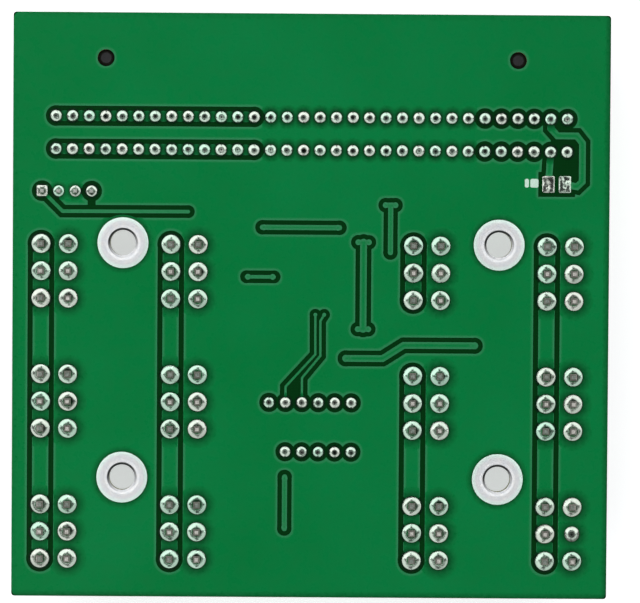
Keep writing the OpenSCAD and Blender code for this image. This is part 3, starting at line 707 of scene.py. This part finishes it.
def climbing_joint(mesh, centre, outline, half, drill, dark_side, chance):
    """Solder around a square pin: a low slope over the pad, then a steep climb up the pin, with painted shade
    by the points' shade.
    """
    uneven = wobble(chance, CLIMB_WOBBLE)
    start = half * chance.uniform(*FOOT_SHARES)
    shift = [chance.uniform(-FOOT_SHIFT_SHARE, FOOT_SHIFT_SHARE) * half for _ in range(2)]
    low_slope = chance.uniform(*LOW_SLOPES)
    bend = chance.uniform(*BENDS)
    climb = chance.uniform(*CLIMB_SLOPES)
    dark = chance.uniform(*DARKNESS)
    darkest = math.radians(dark_side + chance.uniform(-DARK_TURN, DARK_TURN))
    dull = chance.choice(SOUTH_SHADES)
    pin = square(half)

    def rim(angle):
        return outline(angle) * (1 + uneven(angle))

    def foot(angle):
        drawn = start * (1 + FOOT_FLAT_SHARE * math.cos(PIN_SIDES * angle))
        drawn += shift[0] * math.cos(angle) + shift[1] * math.sin(angle)
        return max(drawn, pin(angle) * FOOT_LEAST_SHARE)

    def shoulder(angle, share):
        return (rim(angle) - foot(angle)) * (low_slope * share + bend * share**2)

    # Painted shade beside the pin, darkest on one side
    def tone(angle):
        return dark * max(0.0, DARK_MEAN + DARK_SWING * math.cos(angle - darkest))

    rings = []
    for step in range(CLIMB_STEPS + 1):
        share = step / CLIMB_STEPS
        rings.append(turn(
            centre,
            lambda a: rim(a) * (1 - share) + foot(a) * share,
            lambda a: shoulder(a, share),
            lambda a: max(
                tone(a) * DARK_START * share**DARK_POWER, -dull * math.sin(a), rim_tone(share)
            ),
        ))
    for step in range(1, CLIMB_STEPS + 1):
        share = step / CLIMB_STEPS
        rings.append(turn(
            centre,
            lambda a: foot(a) * (1 - share) + pin(a) * share,
            lambda a: shoulder(a, 1) + (foot(a) - pin(a)) * climb * (share + share**2),
            lambda a: tone(a) * min(1.0, DARK_START + share),
        ))
    rings.append(turn(centre, lambda a: pin(a) * SEAT_SHARE, lambda a: -PLUG))
    rings.append(turn(centre, lambda a: drill, lambda a: -PLUG))
    rings.append(turn(centre, lambda a: drill, lambda a: -ROOT))
    rings.append(turn(centre, rim, lambda a: -ROOT))
    add_rings(mesh, rings, closed=True)


# Solder around an open eye
COLLAR_STEPS = 6
COLLAR_WOBBLE = 0.03
# Unevenness of the collar's height, and the power that rounds its slope
COLLAR_LEAN = 0.2
COLLAR_POWER = 1.35
# Share of the way from the eye's wall to the rim at which the collar is highest
CREST_SHARE = 0.18
# Shift of the eye to the right and upwards, as shares of the pad
EYE_SHIFT_X_SHARES = (-0.07, 0.07)
EYE_SHIFT_Y_SHARES = (-0.12, 0.02)
# Share of the eyes that are deep, the painted shade in them, and that in the others
DEEP_SHARE = 0.92
DEEP_TONE = (0.8, 1.0)
FILLED_TONE = 0.5
EYE_STEPS = 3
# Width and depth of the eye's floor as shares of its bore and depth, from the outside in
EYE_FLOOR_SHARES = ((0.9, 0.8), (0.5, 1.0))


def open_joint(mesh, centre, pad, bore, drill, rise, depth, chance):
    """Low collar of solder around an eye that stays open and is mostly a little below the middle."""
    uneven = wobble(chance, COLLAR_WOBBLE)
    lean = wobble(chance, COLLAR_LEAN)
    shift = (chance.uniform(*EYE_SHIFT_X_SHARES), chance.uniform(*EYE_SHIFT_Y_SHARES), 0)
    eye = centre + Vector(shift) * pad
    dark = chance.uniform(*DEEP_TONE) if chance.random() < DEEP_SHARE else FILLED_TONE
    crest = bore + (pad - bore) * CREST_SHARE

    def rim(angle):
        return pad * (1 + uneven(angle))

    rings = [
        turn(centre, lambda a: drill, lambda a: -PLUG),
        turn(centre, lambda a: drill, lambda a: -ROOT),
        turn(centre, rim, lambda a: -ROOT),
    ]
    for step in range(COLLAR_STEPS + 1):
        share = step / COLLAR_STEPS
        up = 1 - (1 - share) ** COLLAR_POWER
        rings.append(turn(
            centre.lerp(eye, share),
            lambda a: rim(a) * (1 - share) + crest * share,
            lambda a: rise * (1 + lean(a)) * up,
            lambda a: rim_tone(share),
        ))
    # The eye's wall and floor darken with painted shade
    for step in range(1, EYE_STEPS + 1):
        fall = step / EYE_STEPS * math.pi / 2
        rings.append(turn(
            eye,
            lambda a: bore + (crest - bore) * (1 - math.sin(fall)),
            lambda a: rise * (1 + lean(a)) - (crest - bore) * (1 - math.cos(fall)),
            lambda a: dark * step / EYE_STEPS,
        ))
    for wide, deep in EYE_FLOOR_SHARES:
        rings.append(turn(eye, lambda a: bore * wide, lambda a: -depth * deep, lambda a: dark))
    add_rings(mesh, rings, closed=False)


# Half widths of pins and radii of pads and drilled holes
OUTLET_PIN_HALF = 0.535 * MM
OUTLET_PAD = 1.525 * MM
OUTLET_DRILL = 0.9 * MM
HEADER_PIN_HALF = 0.32 * MM
HEADER_DRILL = 0.5 * MM
TAIL_DRILL = 0.45 * MM
# Sides of the pins on which the painted shade in the solder is darkest, in degrees from +X
OUTLET_DARK_SIDE = 45
HEADER_DARK_SIDE = -30
# Share of the pad's radius under which a joint is starved, and the form of its collar
STARVED_SHARE = 0.9
STARVED_BORE, STARVED_RISE, STARVED_DEPTH = 0.43 * MM, 0.3 * MM, 0.4 * MM
# Form of the collar around a tail, and the range of its bore
TAIL_BORE, TAIL_RISE, TAIL_DEPTH = 0.31 * MM, 0.17 * MM, 0.24 * MM
TAIL_BORE_SHARES = (0.88, 1.1)


def outlet_joint(mesh, low, high, index, chance):
    """Joint of an outlet's pin; a starved one is narrower and open."""
    pad = (high.x - low.x) / 2
    centre = (low + high) / 2
    reach = pad - JOINT_TRIM
    if pad < STARVED_SHARE * OUTLET_PAD:
        open_joint(mesh, centre, reach, STARVED_BORE, OUTLET_DRILL, STARVED_RISE, STARVED_DEPTH, chance)
    else:
        climbing_joint(
            mesh, centre, lambda a: reach, OUTLET_PIN_HALF, OUTLET_DRILL, OUTLET_DARK_SIDE, chance
        )


def tail_joint(mesh, low, high, index, chance):
    """Joint of a slot contact's or display pin's tail."""
    bore = TAIL_BORE * chance.uniform(*TAIL_BORE_SHARES)
    pad = (high.x - low.x) / 2 - JOINT_TRIM
    open_joint(mesh, (low + high) / 2, pad, bore, TAIL_DRILL, TAIL_RISE, TAIL_DEPTH, chance)


def header_joint(mesh, low, high, index, chance):
    """Joint of a header pin; the first one's pad is square."""
    pad = (high.x - low.x) / 2 - JOINT_TRIM
    outline = round_square(pad) if index == 0 else lambda a: pad
    climbing_joint(
        mesh, (low + high) / 2, outline, HEADER_PIN_HALF, HEADER_DRILL, HEADER_DARK_SIDE, chance
    )


# Solder on the link's lands
LAND_CROWN = 0.09 * MM
# Lumps and hollows: how many, their places as a share of the land's half size, their widths and heights
LUMP_COUNT = 8
LUMP_PLACE_SHARE = 0.75
LUMP_WIDTHS = (0.24 * MM, 0.4 * MM)
LUMP_HEIGHTS = (0.07 * MM, 0.13 * MM)
# Painted shade in a hollow as deep as the crown is high, and the most that it gets
HOLLOW_TONE, HOLLOW_MOST = 0.65, 0.8
# Powers by which the crown and the lumps fall to the land's outline
CROWN_POWER, LUMP_POWER = 4, 2
# Rings of the land, as shares of the way out from its middle
LAND_SHARES = (1.0, 0.96, 0.9, 0.82, 0.72, 0.61, 0.5, 0.39, 0.28, 0.17, 0.07)


def lumpy_land(mesh, low, high, index, chance):
    """Tinned land: a low cushion of solder with lumps, and hollows with painted shade."""
    centre = (low + high) / 2
    half = (high - low) / 2
    lumps = [
        (
            chance.uniform(-LUMP_PLACE_SHARE, LUMP_PLACE_SHARE) * half.x,
            chance.uniform(-LUMP_PLACE_SHARE, LUMP_PLACE_SHARE) * half.y,
            chance.uniform(*LUMP_WIDTHS),
            chance.choice((-1, 1)) * chance.uniform(*LUMP_HEIGHTS),
        )
        for _ in range(LUMP_COUNT)
    ]

    def outline(angle):
        return 1 / max(abs(math.cos(angle)) / half.x, abs(math.sin(angle)) / half.y)

    def lump(angle, share):
        x, y = (outline(angle) * share * f(angle) for f in (math.cos, math.sin))
        return sum(size * math.exp(-((x - u) ** 2 + (y - v) ** 2) / wide**2) for u, v, wide, size in lumps)

    def height(angle, share):
        return LAND_CROWN * (1 - share**CROWN_POWER) + lump(angle, share) * (1 - share**LUMP_POWER)

    def tone(angle, share):
        hollow = -lump(angle, share) * (1 - share**CROWN_POWER) / LAND_CROWN
        return min(HOLLOW_MOST, max(0.0, HOLLOW_TONE * hollow))

    rings = [turn(centre, outline, lambda a: -ROOT)]
    for share in LAND_SHARES:
        rings.append(turn(
            centre, lambda a: outline(a) * share, lambda a: height(a, share), lambda a: tone(a, share)
        ))
    add_rings(mesh, rings, closed=False)


# Tinned rings of the mounting holes: radii of the ring's bore and of the hole, and how uneven they are
RING_BORE = 2.325 * MM
HOLE_RADIUS = 1.95 * MM
RING_WOBBLE = 0.004
# Height of the ring over the copper's face, and depth of its bed below it
RING_RISE = 0.14 * MM
RING_BED = 0.098 * MM
# Widths of the rounded rims, and the steps that round them
OUTER_ROUND, INNER_ROUND = 0.75 * MM, 0.5 * MM
OUTER_STEPS, INNER_STEPS = 5, 4
# Ledge inside the ring: its distances from the bore and the hole, and its depths as shares of the bed's
LEDGE_OUTER_GAP, LEDGE_INNER_GAP = 0.06 * MM, 0.04 * MM
LEDGE_OUTER_SHARE, LEDGE_INNER_SHARE = 0.5, 0.7
# Painted shade on the ledge: its mean and swing around the hole, and its darkest side
LEDGE_MEAN, LEDGE_SWING = 0.75, 0.6
LEDGE_DARK_SIDE = math.radians(110)


def tinned_ring(mesh, low, high, index, chance):
    """Ring of tin with rounded rims on either side of the board, a painted mint reflection on its outer rim,
    and the ledge inside it with painted shade.
    """
    centre = (low + high) / 2
    outer = (high.x - low.x) / 2 - JOINT_TRIM
    uneven = wobble(chance, RING_WOBBLE)
    face, way = (SOLDER_Z, 1) if high.z > SOLDER_Z else (high.z - RING_BED, -1)

    def ledge(angle):
        return min(1.0, max(0.0, LEDGE_MEAN + LEDGE_SWING * math.cos(angle - LEDGE_DARK_SIDE)))

    def rounded(share):
        return RING_RISE * math.sin(share * math.pi / 2)

    # The third number of each line is its shade: below 0 the painted mint reflection, above 0 the ledge's
    # painted shade
    profile = [(outer, -RING_BED, 0)]
    for step in range(OUTER_STEPS + 1):
        share = step / OUTER_STEPS
        profile.append((outer - OUTER_ROUND * share, rounded(share), share - 1))
    for step in range(INNER_STEPS + 1):
        share = 1 - step / INNER_STEPS
        profile.append((RING_BORE + INNER_ROUND * share, rounded(share), 0))
    profile.append((RING_BORE - LEDGE_OUTER_GAP, -RING_BED * LEDGE_OUTER_SHARE, 1))
    profile.append((HOLE_RADIUS + LEDGE_INNER_GAP, -RING_BED * LEDGE_INNER_SHARE, 1))
    profile.append((HOLE_RADIUS, -RING_BED, 0))
    rings = [
        turn(
            centre,
            lambda a: reach * (1 + uneven(a)),
            lambda a: face - SOLDER_Z + way * rise,
            lambda a: dark * ledge(a) if dark > 0 else dark,
        )
        for reach, rise, dark in profile
    ]
    add_rings(mesh, rings, closed=True)


def joint_piece(name, node, build, material):
    """One object with a new shape for every solid of a CAD node, which it stands for."""
    mesh = shaded_mesh()
    chance = random.Random(SEED)
    for index, (low, high) in enumerate(islands(node)):
        build(mesh, low, high, index, chance)
    place_piece(name, mesh, material, node)


def build_solder():
    """Solder joints, link lands and tinned rings."""
    joint_piece("outlet_joints", "outlet_solder_joints", outlet_joint, SOLDER)
    joint_piece("slot_joints", "slot_solder_joints", tail_joint, SOLDER)
    joint_piece("display_joints", "display_solder_joints", tail_joint, SOLDER)
    joint_piece("header_joints", "header_solder_joints", header_joint, SOLDER)
    joint_piece("link_lands", "link_pads", lumpy_land, SOLDER)
    joint_piece("tinned_rings", "mounting_rings", tinned_ring, TIN)


# Lips of the mask around the joints and rings and along the board's edge, which carry painted shade
# Width and painted shade of the lip around each node's solids, and the gap before the copper that it bridges
LIPS = {
    "outlet_solder_joints": (1.5 * MM, 0.72, 0.16 * MM),
    "slot_solder_joints": (1.05 * MM, 0.95, 0.16 * MM),
    "display_solder_joints": (0.8 * MM, 0.8, 0.16 * MM),
    "header_solder_joints": (0.7 * MM, 0.7, 0.16 * MM),
    "mounting_rings": (0.85 * MM, 0.62, 0.42 * MM),
}
# Width of a lip on bare laminate, and how far each lip reaches under its joint
BARE_LIP = 0.3 * MM
LIP_UNDER = 0.05 * MM
# Height of a lip over the copper's face, the share of it that is lost outwards, and its depth below
LIP_RISE = 0.015 * MM
LIP_FALL_SHARE = 0.8
LIP_DEPTH = 0.12 * MM
# Power by which a lip's painted shade fades outwards, its rings, and the steps in which its end is looked for
LIP_POWER = 1.2
LIP_SHARES = (0.1, 0.25, 0.45, 0.7, 1.0)
LIP_STEPS = 10
# Height from which copper is looked for, and how far below its face
PROBE_HEIGHT = 1 * MM
PROBE_DEPTH = 0.05 * MM
# Lip along the board's edge: its distance from the edge, its width, and the rounding of its corners
EDGE_MARGIN = 0.03 * MM
EDGE_LIP = 0.9 * MM
CORNER_RADIUS = 1.0 * MM
CORNER_STEPS = 6
# Its section: share of the width, height and painted shade of each line
EDGE_SECTION = (
    (0.0, -LIP_DEPTH, 0.75),
    (0.0, LIP_RISE, 0.75),
    (0.35, 0.8 * LIP_RISE, 0.45),
    (1.0, 0.3 * LIP_RISE, 0.0),
    (1.0, -LIP_DEPTH, 0.0),
)
# Mean and swing of its painted shade around the board, and its darkest corner
EDGE_MEAN, EDGE_SWING = 0.5, 0.42
EDGE_DARK_SIDE = math.radians(-45)


def copper_finder():
    """Test for copper of the solder side at a place."""
    mesh = bmesh.new()
    mesh.from_mesh(nodes["solder_side_copper"].data)
    tree = BVHTree.FromBMesh(mesh)
    mesh.free()
    down = Vector((0, 0, -1))

    def found(x, y):
        start = Vector((x, y, SOLDER_Z + PROBE_HEIGHT))
        return tree.ray_cast(start, down, PROBE_HEIGHT + PROBE_DEPTH)[0] is not None

    return found


def add_lip(mesh, centre, reach, width, depth, gap, on_copper):
    """Ring of mask around a joint with painted shade: it ends where its copper ends, and is narrow and fully
    dark on bare laminate.
    """
    spans = {}
    for angle in ANGLES:
        run = 0
        while run < LIP_STEPS:
            far = reach + width * (run + 1) / LIP_STEPS
            place = (centre.x + far * math.cos(angle), centre.y + far * math.sin(angle))
            if far - reach > gap and not on_copper(*place):
                break
            run += 1
        spans[angle] = width * run / LIP_STEPS

    def span(angle):
        return max(spans[angle], BARE_LIP)

    def tone(angle, share):
        return depth * (1 - span(angle) * share / width) ** LIP_POWER if spans[angle] > BARE_LIP else 1.0

    rings = [
        turn(centre, lambda a: reach - LIP_UNDER, lambda a: -LIP_DEPTH),
        turn(centre, lambda a: reach - LIP_UNDER, lambda a: LIP_RISE, lambda a: 1.0),
    ]
    for share in LIP_SHARES:
        rings.append(turn(
            centre,
            lambda a: reach + span(a) * share,
            lambda a: LIP_RISE * (1 - LIP_FALL_SHARE * share),
            lambda a: tone(a, share),
        ))
    rings.append(turn(centre, lambda a: reach + span(a), lambda a: -LIP_DEPTH))
    add_rings(mesh, rings, closed=True)


def add_edge_lip(mesh):
    """Strip of mask along the board's outline, with painted shade that is darkest at one corner."""
    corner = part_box("circuit_board")[1]
    shade = mesh.verts.layers.float[SHADE]
    loops = []
    for width_share, rise, tone in EDGE_SECTION:
        reach = CORNER_RADIUS - (EDGE_MARGIN + EDGE_LIP * width_share)
        loop = []
        for quarter, (side_x, side_y) in enumerate(((1, 1), (-1, 1), (-1, -1), (1, -1))):
            x = (corner.x - CORNER_RADIUS) * side_x
            y = (corner.y - CORNER_RADIUS) * side_y
            for step in range(CORNER_STEPS + 1):
                angle = (quarter + step / CORNER_STEPS) * math.pi / 2
                point = (x + reach * math.cos(angle), y + reach * math.sin(angle), SOLDER_Z + rise)
                vert = mesh.verts.new(point)
                vert[shade] = tone * (EDGE_MEAN + EDGE_SWING * math.cos(angle - EDGE_DARK_SIDE))
                loop.append(vert)
        loops.append(loop)
    for first, second in zip(loops, loops[1:] + loops[:1]):
        for i in range(len(first)):
            j = (i + 1) % len(first)
            mesh.faces.new((first[i], first[j], second[j], second[i]))


def build_lips():
    """Lips of the mask on the solder side, which carry painted shade."""
    mesh = shaded_mesh()
    on_copper = copper_finder()
    for stem, (width, depth, gap) in LIPS.items():
        for low, high in islands(stem):
            if high.z > SOLDER_Z:
                reach = (high.x - low.x) / 2 - JOINT_TRIM
                add_lip(mesh, (low + high) / 2, reach, width, depth, gap, on_copper)
    add_edge_lip(mesh)
    place_piece("painted_shade_lips", mesh, PAINTED_SHADE_LIP)


# Print beside the link pads: plain bars with round corners
PRINT_THICK = 0.02 * MM
PRINT_TALL = 1.33 * MM
PRINT_CORNER, PRINT_CORNER_STEPS = 0.12 * MM, 4
# How far the bars lie above the middle of the pads
PRINT_SHIFT = 0.17 * MM
# Left end of each bar, from the left edge of the pads, and its width
PRINT_BARS = ((-2.72 * MM, 0.63 * MM), (-1.87 * MM, 1.25 * MM))


def build_print():
    """Printed bars."""
    middle = (pads_low.y + pads_high.y) / 2 + PRINT_SHIFT
    mesh = bmesh.new()
    for left, wide in PRINT_BARS:
        place = (pads_low.x + left + wide / 2, middle, SOLDER_Z + PRINT_THICK / 2)
        made = bmesh.ops.create_cube(mesh, size=1.0)["verts"]
        bmesh.ops.scale(mesh, vec=(wide, PRINT_TALL, PRINT_THICK), verts=made)
        bmesh.ops.translate(mesh, vec=place, verts=made)
        uprights = [
            e for e in mesh.edges
            if e.verts[0] in made and abs(e.verts[0].co.z - e.verts[1].co.z) > PRINT_THICK / 2
        ]
        bmesh.ops.bevel(mesh, geom=uprights, offset=PRINT_CORNER, segments=PRINT_CORNER_STEPS, affect="EDGES")
    place_piece("printed_bars", mesh, PRINT_INK)


# Floor: a light table, white with the object's shadow, whose glow also lights the component side
FLOOR_REACH = 3.0
FLOOR_PAPER = seen(240, 240, 242)
FLOOR_GLOW = (0.58, 0.58, 0.585, 1.0)


def build_floor():
    """Floor, clear when it is seen from below."""
    corners = [(FLOOR_REACH * x, FLOOR_REACH * y, 0) for x, y in ((-1, -1), (1, -1), (1, 1), (-1, 1))]
    data = bpy.data.meshes.new("floor")
    data.from_pydata(corners, [], [(0, 1, 2, 3)])
    floor = new_object("floor", data)
    made = bpy.data.materials.new("floor")
    made.use_nodes = True
    tree = made.node_tree
    tree.nodes.clear()
    paper = add(tree, "ShaderNodeBsdfDiffuse", {"Color": FLOOR_PAPER}).outputs[0]
    glow = add(tree, "ShaderNodeEmission", {"Color": FLOOR_GLOW, "Strength": 1.0}).outputs[0]
    top = add(tree, "ShaderNodeAddShader", {0: paper, 1: glow}).outputs[0]
    back = add(tree, "ShaderNodeNewGeometry").outputs["Backfacing"]
    clear = add(tree, "ShaderNodeBsdfTransparent").outputs[0]
    both = add(tree, "ShaderNodeMixShader", {0: back, 1: top, 2: clear}).outputs[0]
    add(tree, "ShaderNodeOutputMaterial", {"Surface": both})
    data.materials.append(made)


# Light: a ring of four soft panels and a dim sky that is darkest overhead and white to the camera
# Width and height of a panel as shares of its distance
PANEL_WIDTH_SHARE = 1.06
PANEL_HEIGHT_SHARE = 0.75
PANEL_ELEVATION = math.radians(48)
# Azimuth from +X in degrees, distance in metres and brightness of each panel: the left ones are nearer
PANELS = {
    "north_east": (45, 1.0, 1.4),
    "north_west": (135, 0.48, 1.6),
    "south_west": (225, 0.48, 1.05),
    "south_east": (315, 1.0, 0.85),
}
# Strength of the sky at the horizon and overhead
SKY_LOW, SKY_HIGH = 0.3, 0.03
# Heights, as the sine of the angle: where the sky gets darkest, and where the haze in reflections ends
SKY_TOP = 0.9
HAZE_TOP = 0.3


def build_panels():
    """Soft panels around the object, which all point at its middle."""
    middle = Vector((0, 0, SOLDER_Z))
    for name, (azimuth, distance, brightness) in PANELS.items():
        around = math.radians(azimuth)
        toward = Vector((
            math.cos(around) * math.cos(PANEL_ELEVATION),
            math.sin(around) * math.cos(PANEL_ELEVATION),
            math.sin(PANEL_ELEVATION),
        ))
        lamp = bpy.data.lights.new(name, "AREA")
        lamp.shape = "RECTANGLE"
        lamp.size = PANEL_WIDTH_SHARE * distance
        lamp.size_y = PANEL_HEIGHT_SHARE * distance
        lamp.energy = brightness * lamp.size * lamp.size_y * math.pi
        panel = new_object(name, lamp)
        panel.location = middle + toward * distance
        panel.rotation_euler = toward.to_track_quat("Z", "Y").to_euler()
        panel.visible_camera = False


def build_sky():
    """Sky that is dim as light, white to the camera, and white at the horizon in reflections."""
    world = bpy.data.worlds.new("sky")
    bpy.context.scene.world = world
    world.use_nodes = True
    tree = world.node_tree
    up = height_of(tree, add(tree, "ShaderNodeTexCoord").outputs["Generated"])
    dim = spread(tree, up, SKY_LOW, SKY_HIGH, start=0.0, end=SKY_TOP)
    haze = spread(tree, up, 1.0, SKY_HIGH, start=0.0, end=HAZE_TOP)
    path = add(tree, "ShaderNodeLightPath").outputs
    shown = work_out(tree, "MAXIMUM", path["Is Camera Ray"], path["Is Transmission Ray"])
    mirrored = work_out(tree, "MULTIPLY", path["Is Glossy Ray"], haze)
    strength = work_out(tree, "MAXIMUM", work_out(tree, "MAXIMUM", dim, mirrored), shown)
    sky = tree.nodes["Background"].inputs
    sky["Color"].default_value = (1.0, 1.0, 1.0, 1.0)
    tree.links.new(strength, sky["Strength"])


# Camera: nearly straight above the solder side, as fitted to the photograph
CAMERA_DISTANCE = 0.5
# Lens and sensor in millimetres, and the nearest distance that is drawn, in metres
CAMERA_LENS, CAMERA_SENSOR = 182.33, 36
CAMERA_NEAREST = 0.01
CAMERA_AIM = Vector((1.427 * MM, 0.729 * MM, SOLDER_Z))
CAMERA_LEAN_X = math.radians(-0.383)
CAMERA_LEAN_Y = math.radians(1.46)
CAMERA_ROLL = math.radians(-0.388)


def build_camera():
    """Camera at the photograph's angle."""
    back = Vector((math.sin(CAMERA_LEAN_X), math.sin(CAMERA_LEAN_Y), 0))
    back.z = math.sqrt(1 - back.x**2 - back.y**2)
    right = Vector((math.sin(CAMERA_ROLL), math.cos(CAMERA_ROLL), 0)).cross(back).normalized()
    up = back.cross(right)
    data = bpy.data.cameras.new("camera")
    data.lens = CAMERA_LENS
    data.sensor_width = CAMERA_SENSOR
    data.clip_start = CAMERA_NEAREST
    camera = new_object("camera", data)
    place = CAMERA_AIM + back * CAMERA_DISTANCE
    camera.matrix_world = Matrix.Translation(place) @ Matrix((right, up, back)).transposed().to_4x4()
    bpy.context.scene.camera = camera


dress_nodes()
build_solder()
build_lips()
build_print()
build_floor()
build_panels()
build_sky()
build_camera()
bpy.context.scene.view_settings.view_transform = "Standard"
